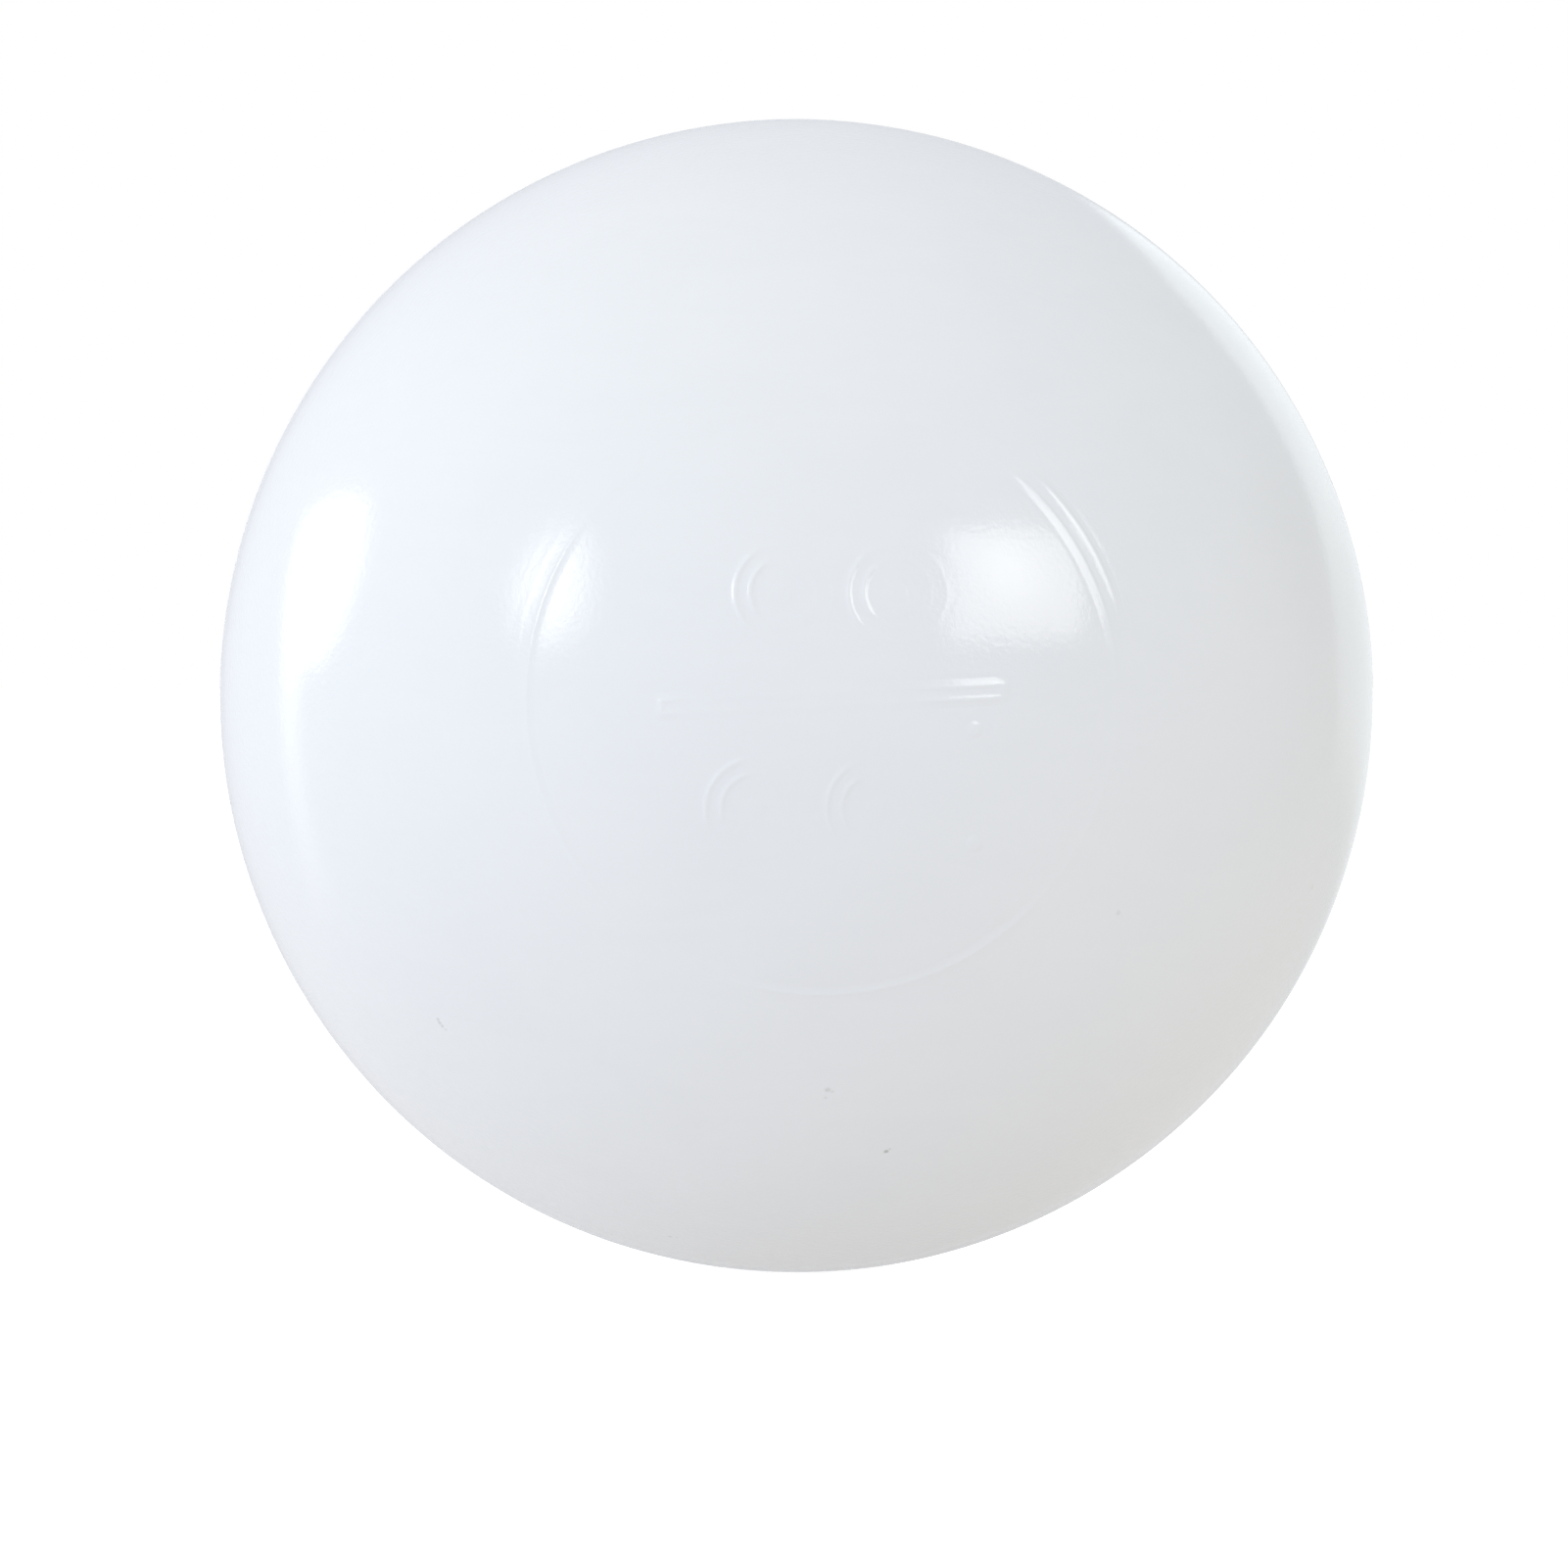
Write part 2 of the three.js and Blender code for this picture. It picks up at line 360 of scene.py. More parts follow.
def front_shell(material):
    build = Build()
    rim = R * math.sin(CAP_ANGLE)
    loops = [np.stack([rim * np.cos(PHI), rim * np.sin(PHI)], 1)] + outlines()
    step = 0.6
    xs, zs = [], []
    for j in range(-40, 41):
        for i in range(-40, 41):
            xs.append((i + 0.5 * (j % 2)) * step)
            zs.append(j * step * math.sqrt(0.75))
    xs, zs = np.array(xs), np.array(zs)
    keep = (np.hypot(xs, zs) < rim - 0.35) & (near_edge(xs, zs) > 0.56)
    background = np.stack([xs[keep], zs[keep]], 1)
    points, edges = [], []
    for loop in loops:
        first = len(points)
        points += loop.tolist()
        edges += [(first + i, first + (i + 1) % len(loop)) for i in range(len(loop))]
    points += background.tolist()
    flat, _, triangles, *_ = geometry.delaunay_2d_cdt(
        [Vector(p) for p in points], edges, [], 0, 1e-6, False
    )
    flat = np.array([tuple(p) for p in flat])
    y = -np.sqrt(R * R - (flat**2).sum(1))
    n = np.stack([flat[:, 0], y, flat[:, 1]], 1) / R
    p, normals = outer(n)
    cap = build.add(p)
    a, b, c = (flat[[t[i] for t in triangles]] for i in range(3))
    area = (b[:, 0] - a[:, 0]) * (c[:, 1] - a[:, 1]) - (c[:, 0] - a[:, 0]) * (b[:, 1] - a[:, 1])
    for t, s in zip(triangles, area):
        t = list(t) if s > 0 else list(t)[::-1]
        build.face(cap[t], normals[t])
    radius = np.hypot(flat[:, 0], flat[:, 1])
    edge = np.where(np.abs(radius - rim) < 1e-4)[0]
    turn = np.mod(np.arctan2(flat[edge, 1], flat[edge, 0]) + 1e-6, 2 * math.pi)
    edge = edge[np.argsort(turn)]
    if len(edge) != COLUMNS:
        raise ValueError(f"the cap's rim has {len(edge)} points")
    rows = [(cap[edge], normals[edge])]
    for angle in outer_angles(CAP_ANGLE)[1:]:
        p, normals = outer(direction(angle, PHI, -1))
        rows.append((build.add(p), normals))
    inner = [math.radians(a) for a in (87, 84, 80, 75, 70, 64, 58, 52, 46, 40, 34, 28, 22, 16, 11, 7, 3.5, 0)]
    wall_rows(build, rows, inner, -1, False)
    return build.object("front_shell", material)


def rear_shell(material):
    build = Build()
    hole = math.asin(HOLE_RADIUS / R)
    hole_in = math.asin(HOLE_RADIUS / R_IN)
    head = math.asin(HEAD_RADIUS / R)
    near = list(np.linspace(hole, math.radians(13), 30))
    rows = []
    for angle in near + outer_angles(math.radians(14.0)):
        p, normals = outer(direction(angle, PHI, 1))
        rows.append((build.add(p), normals))
    inner = [math.radians(a) for a in (87, 84, 80, 75, 70, 64, 58, 52, 46, 40, 34, 28, 22, 16, 11, 7, 4)]
    last = wall_rows(build, rows, inner + [hole_in], 1, True)
    # the hole's own wall, facing the axis
    inwards = np.stack([-np.cos(PHI), 0 * PHI, -np.sin(PHI)], 1)
    build.strip(last, rows[0][0], inwards, inwards, True)
    return build.object("rear_shell", material)


def seam_bead(material):
    """The plastic squeezed inwards where the halves fuse: a soft, uneven roll."""
    build = Build()
    wave = 1 + 0.14 * np.sin(5 * PHI + 0.3) + 0.1 * np.sin(11 * PHI + 1.9) + 0.07 * np.sin(29 * PHI + 3.3)
    half = math.asin(BEAD_HALF_WIDTH / R_IN)
    rows, normals = [], []
    steps = 9
    for i in range(steps + 1):  # against the wall, from the front edge to the rear one
        a = -half + 2 * half * i / steps
        s = np.cos(a) * R_IN
        rows.append(np.stack([s * np.cos(PHI), 0 * PHI + R_IN * math.sin(a), s * np.sin(PHI)], 1))
        normals.append(np.stack([np.cos(a) * np.cos(PHI), 0 * PHI + math.sin(a), np.cos(a) * np.sin(PHI)], 1))
    wall = len(rows)
    for i in range(1, 12):  # back over the roll
        t = i / 12
        a = half - 2 * half * t
        lift = BEAD_HEIGHT * 0.86 * wave * math.sin(math.pi * t) ** 0.7
        s = np.cos(a) * R_IN - lift
        rows.append(np.stack([s * np.cos(PHI), 0 * PHI + R_IN * math.sin(a), s * np.sin(PHI)], 1))
    rows_i = [build.add(r) for r in rows]
    grid = np.array(rows)
    total = len(rows)
    free = []
    for i in range(total):
        before, after = grid[(i - 1) % total], grid[(i + 1) % total]
        along = after - before
        round_ = np.roll(grid[i], -1, 0) - np.roll(grid[i], 1, 0)
        n = np.cross(along, round_)
        n /= np.linalg.norm(n, axis=1)[:, None]
        free.append(n)
    # turned to face out of the roll: inwards on the free side
    sign = np.sign((free[wall + 4] * -normals[4]).sum(1).mean())
    free = [n * sign for n in free]
    for i in range(total):
        j = (i + 1) % total
        against = i < wall - 1
        na = normals[i] if against else free[i]
        nb = normals[j] if against else free[j]
        build.strip(rows_i[i], rows_i[j], na, nb, False)
    return build.object("seam_bead", material)


def needle_plug(material):
    """The fused plug: a low, slightly uneven head, a shank through the wall and a dome."""
    build = Build()
    columns = 120
    phi = np.arange(columns) * 2 * math.pi / columns
    cos, sin = np.cos(phi), np.sin(phi)
    out = np.stack([cos, 0 * phi, sin], 1)
    uneven = 1 + 0.035 * np.sin(2 * phi + 0.6) + 0.025 * np.sin(5 * phi + 2.2) + 0.012 * np.sin(9 * phi + 1.0)

    def base(r):
        """Height along +Y of the outer surface at radius r from the axis."""
        n = np.stack([r * cos / R, np.sqrt(1 - (r / R) ** 2), r * sin / R], 1)
        return (n * (R + height(n))[:, None])[:, 1]

    rows = []  # (points, smooth group)
    r_in = HOLE_RADIUS
    y_in = math.sqrt(R_IN**2 - r_in**2)
    inner_r = [0.12, 0.25, 0.38, 0.5, 0.6, 0.68, 0.74, 0.78]
    for r in inner_r:
        y = y_in - PLUG_INNER_DOME * math.sqrt(max(0.0, 1 - (r / r_in) ** 2)) * (1 + 0.05 * np.sin(3 * phi))
        rows.append((np.stack([r * cos, y, r * sin], 1), 0))
    rows.append((np.stack([r_in * cos, 0 * phi + y_in, r_in * sin], 1), 0))
    for t in (0.25, 0.5, 0.75, 1.0):
        y = y_in + (base(r_in + 0 * phi) - y_in) * t
        rows.append((np.stack([r_in * cos, y, r_in * sin], 1), 1))
    edge = HEAD_RADIUS * uneven
    for t in (0.33, 0.66, 1.0):
        r = r_in + (edge - r_in) * t
        rows.append((np.stack([r * cos, base(r) + 0.001, r * sin], 1), 2))
    top = (0.995, 0.98, 0.95, 0.9, 0.83, 0.75, 0.66, 0.56, 0.46, 0.36, 0.27, 0.19, 0.12, 0.06)
    for t in top:
        r = edge * t
        crown = (1 - t**2) ** 0.45  # blunt edge, nearly flat middle
        dimple = 0.34 * math.exp(-((t / 0.3) ** 2))  # where the iron lifted off
        swirl = 0.07 * np.sin(3 * phi + 7 * t) * math.exp(-(((t - 0.5) / 0.25) ** 2))
        y = base(r) + 0.001 + HEAD_HEIGHT * (crown * (1 + swirl) - dimple)
        rows.append((np.stack([r * cos, y, r * sin], 1), 3))
    bottom = build.add([(0.0, y_in - PLUG_INNER_DOME, 0.0)])
    ids = [build.add(p) for p, _ in rows]
    tip_y = float(R + height(np.array([[0.0, 1.0, 0.0]]))[0]) + 0.001 + HEAD_HEIGHT * (1 - 0.34)
    tip = build.add([(0.0, tip_y, 0.0)])

    def normals(i, group):
        """Normals of row i as part of that smooth group."""
        lo = i - 1 if i > 0 and rows[i][1] == group else i
        hi = i + 1 if i + 1 < len(rows) and rows[i + 1][1] == group else i
        along = rows[hi][0] - rows[lo][0]
        around = np.roll(rows[i][0], -1, 0) - np.roll(rows[i][0], 1, 0)
        n = np.cross(along, around)
        length = np.linalg.norm(n, axis=1)[:, None]
        return n / np.maximum(length, 1e-12)

    # the profile runs from the inner dome's tip outwards, up the shank and over the head
    build.strip(ids[0], bottom, normals(0, 0), [(0.0, -1.0, 0.0)], True)
    for i in range(len(rows) - 1):
        g = rows[i + 1][1]
        build.strip(ids[i + 1], ids[i], normals(i + 1, g), normals(i, g), True)
    g = rows[-1][1]
    build.strip(ids[-1], tip, normals(len(rows) - 1, g), [(0.0, 1.0, 0.0)], False)
    return build.object("needle_plug", material)


# ---------------------------------------------------------------- materials
class Nodes:
    def __init__(self, tree):
        self.tree = tree
        tree.nodes.clear()

    def add(self, kind, label=None, **values):
        node = self.tree.nodes.new(kind)
        if label:
            node.label = label
        for k, v in values.items():
            setattr(node, k, v)
        return node

    def link(self, a, b):
        self.tree.links.new(a, b)

    def maths(self, op, a, b=None, c=None, clamp=False):
        node = self.add("ShaderNodeMath", operation=op, use_clamp=clamp)
        for i, v in enumerate((a, b, c)):
            if v is None:
                continue
            if isinstance(v, (int, float)):
                node.inputs[i].default_value = v
            else:
                self.link(v, node.inputs[i])
        return node.outputs[0]

    def vector(self, op, a, b=None, scale=None):
        node = self.add("ShaderNodeVectorMath", operation=op)
        for i, v in enumerate((a, b)):
            if v is None:
                continue
            if isinstance(v, (tuple, list)):
                node.inputs[i].default_value = v
            else:
                self.link(v, node.inputs[i])
        if scale is not None:
            if isinstance(scale, (int, float)):
                node.inputs["Scale"].default_value = scale
            else:
                self.link(scale, node.inputs["Scale"])
        return node.outputs["Value"] if op in ("DISTANCE", "LENGTH", "DOT_PRODUCT") else node.outputs[0]

    def noise(self, where, scale, detail=2.0, rough=0.5, distortion=0.0):
        node = self.add("ShaderNodeTexNoise")
        self.link(where, node.inputs["Vector"])
        node.inputs["Scale"].default_value = scale
        node.inputs["Detail"].default_value = detail
        node.inputs["Roughness"].default_value = rough
        node.inputs["Distortion"].default_value = distortion
        return node.outputs["Fac"]

    def ramp(self, value, lo, hi, to_lo=0.0, to_hi=1.0, smooth=True):
        node = self.add("ShaderNodeMapRange")
        node.interpolation_type = "SMOOTHSTEP" if smooth else "LINEAR"
        self.link(value, node.inputs["Value"])
        for name, v in (("From Min", lo), ("From Max", hi), ("To Min", to_lo), ("To Max", to_hi)):
            node.inputs[name].default_value = v
        return node.outputs["Result"]

    def mix(self, factor, a, b):
        node = self.add("ShaderNodeMix", data_type="RGBA")
        self.link(factor, node.inputs["Factor"])
        for socket, v in ((node.inputs[6], a), (node.inputs[7], b)):
            if isinstance(v, tuple):
                socket.default_value = (*v, 1.0)
            else:
                self.link(v, socket)
        return node.outputs[2]


# Small marks of handling and specks in the plastic: (x, y, z) and radius in mm, strength
SPECKS = (
    ((-17.42, -15.06, -14.95), 0.16, 0.30),
    ((-17.36, -15.02, -15.12), 0.15, 0.42),
    ((-17.26, -15.02, -15.30), 0.14, 0.40),
    ((-17.10, -15.04, -15.46), 0.13, 0.26),
    ((0.41, -20.72, -18.07), 0.20, 0.30),
    ((0.62, -20.66, -18.16), 0.12, 0.26),
    ((0.33, -20.40, -18.46), 0.12, 0.18),
    ((3.31, -17.37, -21.06), 0.17, 0.62),
    ((3.46, -17.48, -20.94), 0.10, 0.30),
    ((13.79, -21.64, -9.89), 0.20, 0.14),
    ((14.0, -21.50, -10.1), 0.13, 0.12),
    ((23.76, -10.57, -8.95), 0.22, 0.12),
    ((-6.39, -8.28, -25.43), 0.18, 0.30),
    ((-6.10, -8.42, -25.46), 0.12, 0.24),
    ((-9.1, 21.4, 14.6), 0.16, 0.34),
    ((12.4, 18.9, -15.7), 0.15, 0.28),
    ((19.6, 17.9, 6.9), 0.14, 0.24),
)


def moulded_plastic():
    mat = bpy.data.materials.new("moulded_white")
    mat.use_nodes = True
    n = Nodes(mat.node_tree)
    where = n.vector("SCALE", n.add("ShaderNodeTexCoord").outputs["Object"], scale=1 / MM)
    # milky clouds and long faint flow marks in the melt
    cloud = n.noise(where, 0.085, 3.0, 0.55, 0.6)
    stretched = n.vector("MULTIPLY", where, (0.10, 0.16, 0.42))
    flow = n.noise(stretched, 1.0, 3.0, 0.5, 1.2)
    tone = n.maths("ADD", n.ramp(cloud, 0.3, 0.7, 0.0, 0.62), n.ramp(flow, 0.35, 0.65, 0.0, 0.38))
    colour = n.mix(tone, (0.850, 0.868, 0.896), (0.865, 0.882, 0.907))
    # specks, each a little ragged
    ragged = n.noise(where, 6.0, 2.0, 0.6)
    dark = None
    for place, size, strength in SPECKS:
        d = n.vector("DISTANCE", where, place)
        spot = n.ramp(d, size * 0.25, size, strength, 0.0)
        dark = spot if dark is None else n.maths("MAXIMUM", dark, spot)
    dark = n.maths("MULTIPLY", dark, n.ramp(ragged, 0.3, 0.62, 0.35, 1.0))
    colour = n.mix(dark, colour, (0.30, 0.31, 0.29))

    fine = n.noise(where, 3.8, 2.0, 0.55)
    wide = n.noise(where, 0.9, 2.0, 0.5)
    rough = n.maths("ADD", n.ramp(fine, 0.3, 0.7, 0.075, 0.095), n.ramp(wide, 0.3, 0.7, 0.0, 0.02))
    rough = n.maths("ADD", rough, n.maths("MULTIPLY", dark, 0.3))

    bump_wide = n.add("ShaderNodeBump")
    bump_wide.inputs["Strength"].default_value = 1.0
    bump_wide.inputs["Distance"].default_value = 2.2e-6
    n.link(wide, bump_wide.inputs["Height"])
    bump = n.add("ShaderNodeBump")
    bump.inputs["Strength"].default_value = 1.0
    bump.inputs["Distance"].default_value = 9.0e-6
    n.link(fine, bump.inputs["Height"])
    n.link(bump_wide.outputs["Normal"], bump.inputs["Normal"])
    pit = n.add("ShaderNodeBump")
    pit.invert = True
    pit.inputs["Strength"].default_value = 1.0
    pit.inputs["Distance"].default_value = 2.5e-5
    n.link(dark, pit.inputs["Height"])
    n.link(bump.outputs["Normal"], pit.inputs["Normal"])

    p = n.add("ShaderNodeBsdfPrincipled")
    n.link(colour, p.inputs["Base Color"])
    n.link(rough, p.inputs["Roughness"])
    n.link(pit.outputs["Normal"], p.inputs["Normal"])
    p.inputs["IOR"].default_value = 1.5
    p.inputs["Subsurface Weight"].default_value = 0.1
    p.inputs["Subsurface Radius"].default_value = (1.0, 0.95, 0.9)
    p.inputs["Subsurface Scale"].default_value = 0.0005
    out = n.add("ShaderNodeOutputMaterial")
    n.link(p.outputs[0], out.inputs[0])
    return mat


def fused_plastic():
    mat = bpy.data.materials.new("fused_white")
    mat.use_nodes = True
    n = Nodes(mat.node_tree)
    where = n.vector("SCALE", n.add("ShaderNodeTexCoord").outputs["Object"], scale=1 / MM)
    cloud = n.noise(where, 1.3, 3.0, 0.6, 0.8)
    colour = n.mix(n.ramp(cloud, 0.3, 0.7), (0.800, 0.815, 0.835), (0.852, 0.866, 0.886))
    fine = n.noise(where, 7.0, 3.0, 0.6)
    rough = n.maths("ADD", n.ramp(cloud, 0.3, 0.7, 0.24, 0.36), n.ramp(fine, 0.3, 0.7, 0.0, 0.08))
    bump = n.add("ShaderNodeBump")
    bump.inputs["Strength"].default_value = 1.0
    bump.inputs["Distance"].default_value = 7.0e-6
    n.link(fine, bump.inputs["Height"])
    p = n.add("ShaderNodeBsdfPrincipled")
    n.link(colour, p.inputs["Base Color"])
    n.link(rough, p.inputs["Roughness"])
    n.link(bump.outputs["Normal"], p.inputs["Normal"])
    p.inputs["IOR"].default_value = 1.5
    out = n.add("ShaderNodeOutputMaterial")
    n.link(p.outputs[0], out.inputs[0])
    return mat


# ---------------------------------------------------------------- pieces
moulded = moulded_plastic()
fused = fused_plastic()

front = front_shell(moulded)
rear = rear_shell(moulded)
bead = seam_bead(fused)
plug = needle_plug(fused)
for piece, node, slot in (
    (front, "front_half_shell", "moulded_white"),
    (rear, "rear_half_shell", "moulded_white"),
    (bead, "seam_weld_bead", "fused_white"),
    (plug, "blow_hole_plug", "fused_white"),
):
    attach(piece, "root")
    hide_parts(node)

# the CAD nodes aren't shown, but keep the same finishes
for node, mat in (
    ("front_half_shell", moulded),
    ("rear_half_shell", moulded),
    ("seam_weld_bead", fused),
    ("blow_hole_plug", fused),
):
    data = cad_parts[node].data
    for i in range(len(data.materials)):
        data.materials[i] = mat

# ---------------------------------------------------------------- floor
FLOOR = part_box("rear_half_shell")[0].z  # the ball's lowest point


def disc(name, z, radius, rings):
    """A flat round mesh, centred under the ball."""
    build = Build()
    phi = np.arange(96) * 2 * math.pi / 96
    up = [(0.0, 0.0, 1.0)] * 96
    middle = build.add([(0.0, 0.0, z)])
    last = None
    for r in np.linspace(0, 1, rings + 1)[1:] ** 2 * radius:
        row = build.add(np.stack([r * np.cos(phi), r * np.sin(phi), 0 * phi + z], 1))
        if last is None:
            build.strip(row, middle, up, up[:1], True)
        else:
            build.strip(row, last, up, up, True)
        last = row
    return build


def pale_floor():
    mat = bpy.data.materials.new("pale_floor")
    mat.use_nodes = True
    n = Nodes(mat.node_tree)
    d = n.add("ShaderNodeBsdfDiffuse")
    d.inputs["Color"].default_value = (0.86, 0.865, 0.875, 1)
    e = n.add("ShaderNodeEmission", "floor_glow")
    e.inputs["Color"].default_value = (1, 1, 1, 1)
    e.inputs["Strength"].default_value = 0.52
    s = n.add("ShaderNodeAddShader")
    n.link(d.outputs[0], s.inputs[0])
    n.link(e.outputs[0], s.inputs[1])
    out = n.add("ShaderNodeOutputMaterial")
    n.link(s.outputs[0], out.inputs[0])
    mat.cycles.emission_sampling = "NONE"
    return mat


floor = disc("floor", FLOOR / MM - 0.02, 6000.0, 24).object("floor", pale_floor())
floor.visible_diffuse = floor.visible_glossy = floor.visible_transmission = False
floor.visible_shadow = floor.visible_volume_scatter = False


def bounce():
    """Stands in for the floor as the ball sees it: white near the ball, fading out."""
    mat = bpy.data.materials.new("bounce")
    mat.use_nodes = True
    n = Nodes(mat.node_tree)
    d = n.add("ShaderNodeBsdfDiffuse")
    d.inputs["Color"].default_value = (0.74, 0.745, 0.755, 1)
    t = n.add("ShaderNodeBsdfTransparent")
    far = n.vector("LENGTH", n.add("ShaderNodeTexCoord").outputs["Object"])
    mix = n.add("ShaderNodeMixShader")
    n.link(n.ramp(far, 0.006, 0.045, 0.72, 1.0), mix.inputs[0])
    n.link(d.outputs[0], mix.inputs[1])
    n.link(t.outputs[0], mix.inputs[2])
    out = n.add("ShaderNodeOutputMaterial")
    n.link(mix.outputs[0], out.inputs[0])
    return mat


under = disc("bounce", 0.0, 60.0, 8).object("bounce", bounce())
under.location = (0, 0, FLOOR - 0.06 * MM)
under.visible_camera = False

# ---------------------------------------------------------------- light
# The studio's soft light, as radiance by direction (x right, y away, z up)
ENV = {
    "one": (0.8357, 0.8542, 0.8918),
    "x": (-0.1501, -0.1705, -0.2170),
    "y": (-0.0464, -0.0521, -0.0562),
    "z": (0.0707, 0.0991, 0.1319),
    "xx": (0.1471, 0.1627, 0.1499),
    "zz": (-0.0305, -0.0776, -0.1548),
    "xz": (-0.1238, -0.0966, -0.0606),
    "xy": (-0.0298, -0.0024, -0.0053),
    "yz": (-0.1437, -0.1399, -0.1029),
    "back": (-0.0800, -0.0800, -0.0800),
    "left": (0.0873, 0.0805, 0.0556),
    "right": (-0.0990, -0.1279, -0.1457),
    "dim": (-0.1500, -0.1500, -0.1400),
}
BACKDROP = (1.0, 1.0, 1.0)

world = bpy.data.worlds.new("studio")
bpy.context.scene.world = world
world.use_nodes = True
w = Nodes(world.node_tree)
way = w.vector("NORMALIZE", w.add("ShaderNodeTexCoord").outputs["Generated"])
split = w.add("ShaderNodeSeparateXYZ")
w.link(way, split.inputs[0])
x, y, z = split.outputs


def lobe(azimuth, elevation, power):
    """A soft patch of the studio round a direction (azimuth from -Y towards +X)."""
    a, e = math.radians(azimuth), math.radians(elevation)
    towards = (math.sin(a) * math.cos(e), -math.cos(a) * math.cos(e), math.sin(e))
    return w.maths("POWER", w.maths("MAXIMUM", w.vector("DOT_PRODUCT", way, towards), 0.0), power)


terms = {
    "one": None,
    "x": x,
    "y": y,
    "z": z,
    "xx": w.maths("MULTIPLY", x, x),
    "zz": w.maths("MULTIPLY", z, z),
    "xz": w.maths("MULTIPLY", x, z),
    "xy": w.maths("MULTIPLY", x, y),
    "yz": w.maths("MULTIPLY", y, z),
    "back": lobe(180, 0, 20.0),
    "left": lobe(-112, 12, 7.0),
    "right": lobe(112, 14, 9.0),
    "dim": lobe(124, 10, 45.0),
}
total = None
for name, factor in terms.items():
    node = w.add("ShaderNodeVectorMath", "env_" + name, operation="SCALE")
    node.inputs[0].default_value = ENV[name]
    if factor is None:
        node.inputs["Scale"].default_value = 1.0
    else:
        w.link(factor, node.inputs["Scale"])
    total = node.outputs[0] if total is None else w.vector("ADD", total, node.outputs[0])
total = w.vector("MAXIMUM", total, (0.0, 0.0, 0.0))
soft = w.add("ShaderNodeBackground", "soft_light")
w.link(total, soft.inputs["Color"])
seen = w.add("ShaderNodeBackground", "backdrop")
seen.inputs["Color"].default_value = (*BACKDROP, 1)
mix = w.add("ShaderNodeMixShader")
w.link(w.add("ShaderNodeLightPath").outputs["Is Camera Ray"], mix.inputs[0])
w.link(soft.outputs[0], mix.inputs[1])
w.link(seen.outputs[0], mix.inputs[2])
end = w.add("ShaderNodeOutputWorld")
w.link(mix.outputs[0], end.inputs[0])


def polygon_depth(px, pz, corners):
    """Distance inside a polygon, negative outside, of many points."""
    best = np.full(px.shape, 1e9)
    inside = np.zeros(px.shape, bool)
    for (ax, az), (bx, bz) in zip(corners, corners[1:] + corners[:1]):
        ux, uz = bx - ax, bz - az
        t = np.clip(((px - ax) * ux + (pz - az) * uz) / (ux * ux + uz * uz), 0, 1)
        best = np.minimum(best, np.hypot(px - ax - t * ux, pz - az - t * uz))
        if bz != az:
            cross = ((az > pz) != (bz > pz)) & (px < (bx - ax) * (pz - az) / (bz - az) + ax)
            inside ^= cross
    return np.where(inside, best, -best)


def softbox(name, corners, soft_edge, radiance, colour=(1, 1, 1), shade=None, reach=1.6):
    """A soft light panel that only shows in reflections. Corners are (azimuth from -Y
    towards +X, elevation) in degrees; its light falls off over soft_edge degrees."""
    az = np.array([c[0] for c in corners])
    el = np.array([c[1] for c in corners])
    pad = soft_edge * 0.6 + 1
    a0, a1 = az.min() - pad, az.max() + pad
    e0, e1 = el.min() - pad, el.max() + pad
    na, ne = max(8, int((a1 - a0) / 0.8)), max(8, int((e1 - e0) / 0.8))
    ga, ge = np.meshgrid(np.linspace(a0, a1, na), np.linspace(e0, e1, ne), indexing="ij")
    depth = polygon_depth(ga, ge, [tuple(c) for c in corners])
    power = smoother(depth / soft_edge + 0.5)
    if shade is not None:
        power = power * shade(ga, ge)
    a, e = np.radians(ga), np.radians(ge)
    p = reach * np.stack([np.sin(a) * np.cos(e), -np.cos(a) * np.cos(e), np.sin(e)], -1)
    index = np.arange(na * ne).reshape(na, ne)
    faces = np.stack([index[:-1, :-1], index[1:, :-1], index[1:, 1:], index[:-1, 1:]], -1).reshape(-1, 4)
    mesh = bpy.data.meshes.new(name)
    mesh.from_pydata(p.reshape(-1, 3).tolist(), [], faces.tolist())
    attribute = mesh.attributes.new("power", "FLOAT", "POINT")
    attribute.data.foreach_set("value", power.ravel().astype(np.float32))
    mat = bpy.data.materials.new(name)
    mat.use_nodes = True
    n = Nodes(mat.node_tree)
    read = n.add("ShaderNodeAttribute", attribute_name="power")
    glow = n.add("ShaderNodeEmission", "glow")
    glow.inputs["Color"].default_value = (*colour, 1)
    gain = n.add("ShaderNodeMath", "gain", operation="MULTIPLY")
    n.link(read.outputs["Fac"], gain.inputs[0])
    gain.inputs[1].default_value = radiance
    n.link(gain.outputs[0], glow.inputs["Strength"])
    clear = n.add("ShaderNodeBsdfTransparent")
    both = n.add("ShaderNodeAddShader")
    n.link(glow.outputs[0], both.inputs[0])
    n.link(clear.outputs[0], both.inputs[1])
    out = n.add("ShaderNodeOutputMaterial")
    n.link(both.outputs[0], out.inputs[0])
    mat.cycles.emission_sampling = "NONE"
    mesh.materials.append(mat)
    obj = bpy.data.objects.new(name, mesh)
    bpy.context.scene.collection.objects.link(obj)
    obj.visible_camera = obj.visible_diffuse = obj.visible_transmission = False
    obj.visible_volume_scatter = obj.visible_shadow = False
    return obj


# tall softbox at the left, behind the ball's shoulder, with its glow
LEFT = [
    (-123.5, 20.0), (-117.5, 22.0), (-111.5, 23.3), (-107.5, 21.0), (-104.5, 17.3), (-104.7, 12.4),
    (-106.0, 8.2), (-109.8, 4.8), (-112.5, 3.4), (-124.6, 2.6), (-126.4, 5.3), (-128.3, 9.6),
    (-130.2, 12.8), (-130.8, 15.8),
]  # fmt: skip
softbox("box_left", LEFT, 2.6, 2.2, (1.0, 1.0, 0.97))
softbox("box_left_glow", LEFT, 13.0, 0.40)
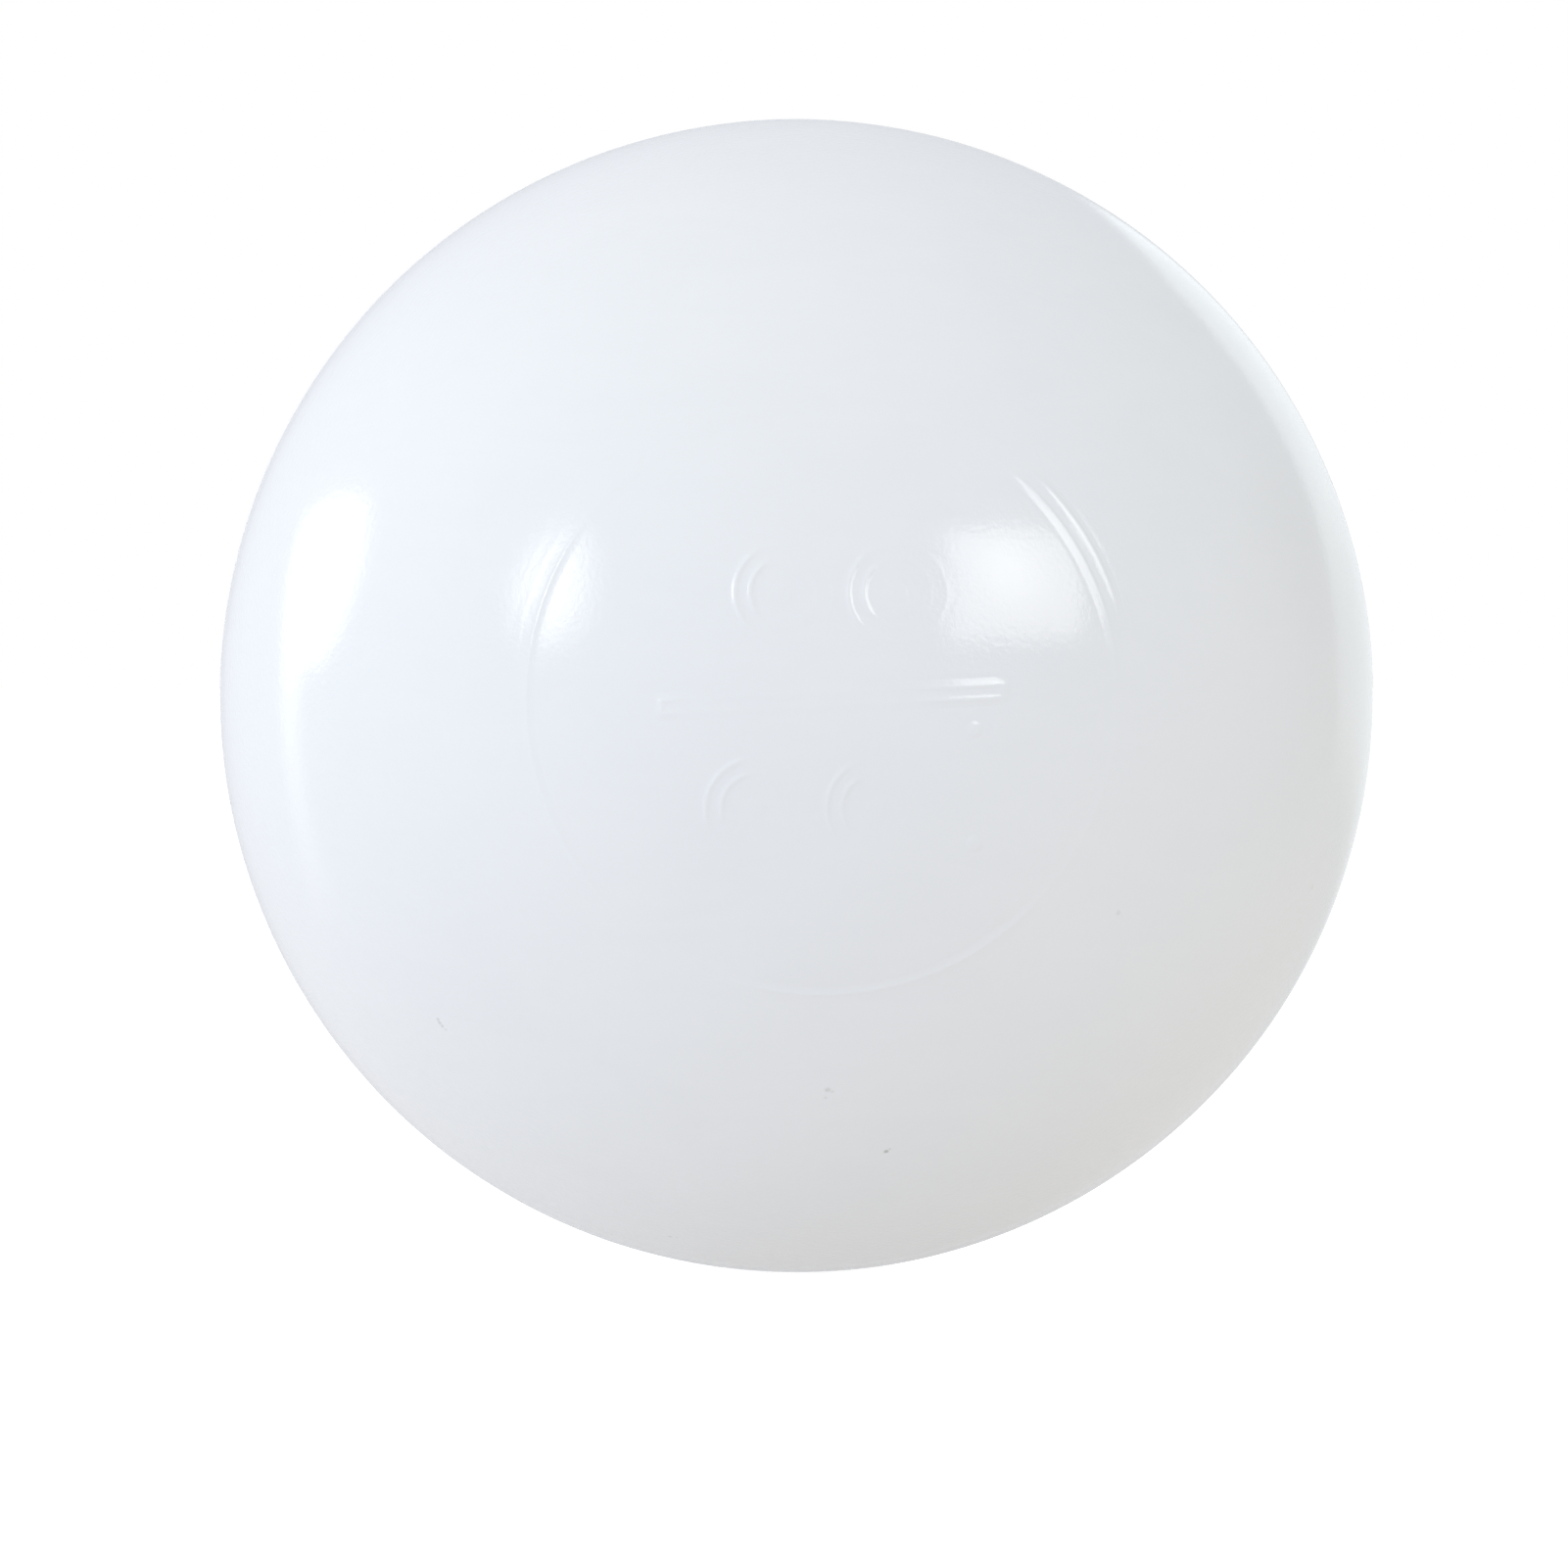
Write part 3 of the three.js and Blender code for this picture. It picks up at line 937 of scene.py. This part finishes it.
# its light on the table below
softbox(
    "box_left_low",
    [
        (-126.2, 3.6), (-118.7, 4.0), (-120.0, -5.1), (-121.3, -12.1), (-122.3, -17.7),
        (-125.1, -21.3), (-134.0, -18.8), (-131.0, -15.0), (-128.2, -10.0), (-126.5, -3.8),
    ],
    3.4,
    1.15,
    shade=lambda a, e: np.clip((e + 26) / 28, 0, 1) ** 1.5,
)  # fmt: skip
# small round lamp at the front left
softbox(
    "lamp_front",
    [(-54 + 6.6 * math.cos(t), 19.4 + 8.8 * math.sin(t)) for t in np.arange(20) * math.pi / 10],
    14.0,
    5.4,
)
# window at the front right
softbox(
    "window",
    [(27.4, 10.3), (29.6, 30.9), (43.0, 30.7), (60.0, 27.7), (60.0, 22.6), (55.9, 12.0), (52.9, 10.1), (40.0, 9.9)],
    1.2,
    3.6,
    (1.0, 0.985, 0.965),
    shade=lambda a, e: 0.74 + 0.65 * np.exp(-(((a - 42) / 8) ** 2) - ((e - 23) / 7) ** 2),
)
# long pale wall behind at the right
softbox(
    "wall_right",
    [(134, -12), (134, 2), (135.7, 6.4), (139.3, 10.9), (142.5, 17), (147, 23), (153, 24.5), (160, 21.5), (165, 18), (170, 12), (170, -12)],
    1.3,
    0.27,
    (0.9, 1.0, 1.0),
    shade=lambda a, e: smoother((e + 9) / 9) * (1 + 0.6 * smoother((e - 2) / 10)),
)

# ---------------------------------------------------------------- camera
# 600 mm from the ball, nearly level with it and a little to its left
AZ, EL = math.radians(2.8), math.radians(0.3)
DISTANCE = 600.0
BALL_PX = 588.41  # radius of the ball in the picture
OFF_X, OFF_Z = 13.05, 89.88  # of the ball's centre from the picture's, right and up
focal = BALL_PX * math.sqrt(DISTANCE**2 - R**2) / R  # in picture units

back = Vector((-math.sin(AZ) * math.cos(EL), -math.cos(AZ) * math.cos(EL), math.sin(EL)))
right = Vector((math.cos(AZ), -math.sin(AZ), 0.0))
up = right.cross(-back)
aim = (-back - right * (OFF_X / focal) - up * (OFF_Z / focal)).normalized()

data = bpy.data.cameras.new("camera")
data.sensor_width = 36.0
data.lens = focal * 36.0 / 1601.0
data.clip_start, data.clip_end = 0.01, 100.0
camera = bpy.data.objects.new("camera", data)
camera.location = back * (DISTANCE * MM)
camera.rotation_mode = "QUATERNION"
camera.rotation_quaternion = aim.to_track_quat("-Z", "Y")
bpy.context.scene.collection.objects.link(camera)
bpy.context.scene.camera = camera

view = bpy.context.scene.view_settings
view.view_transform = "Standard"
view.look = "None"
view.exposure = 0.0
view.gamma = 1.0
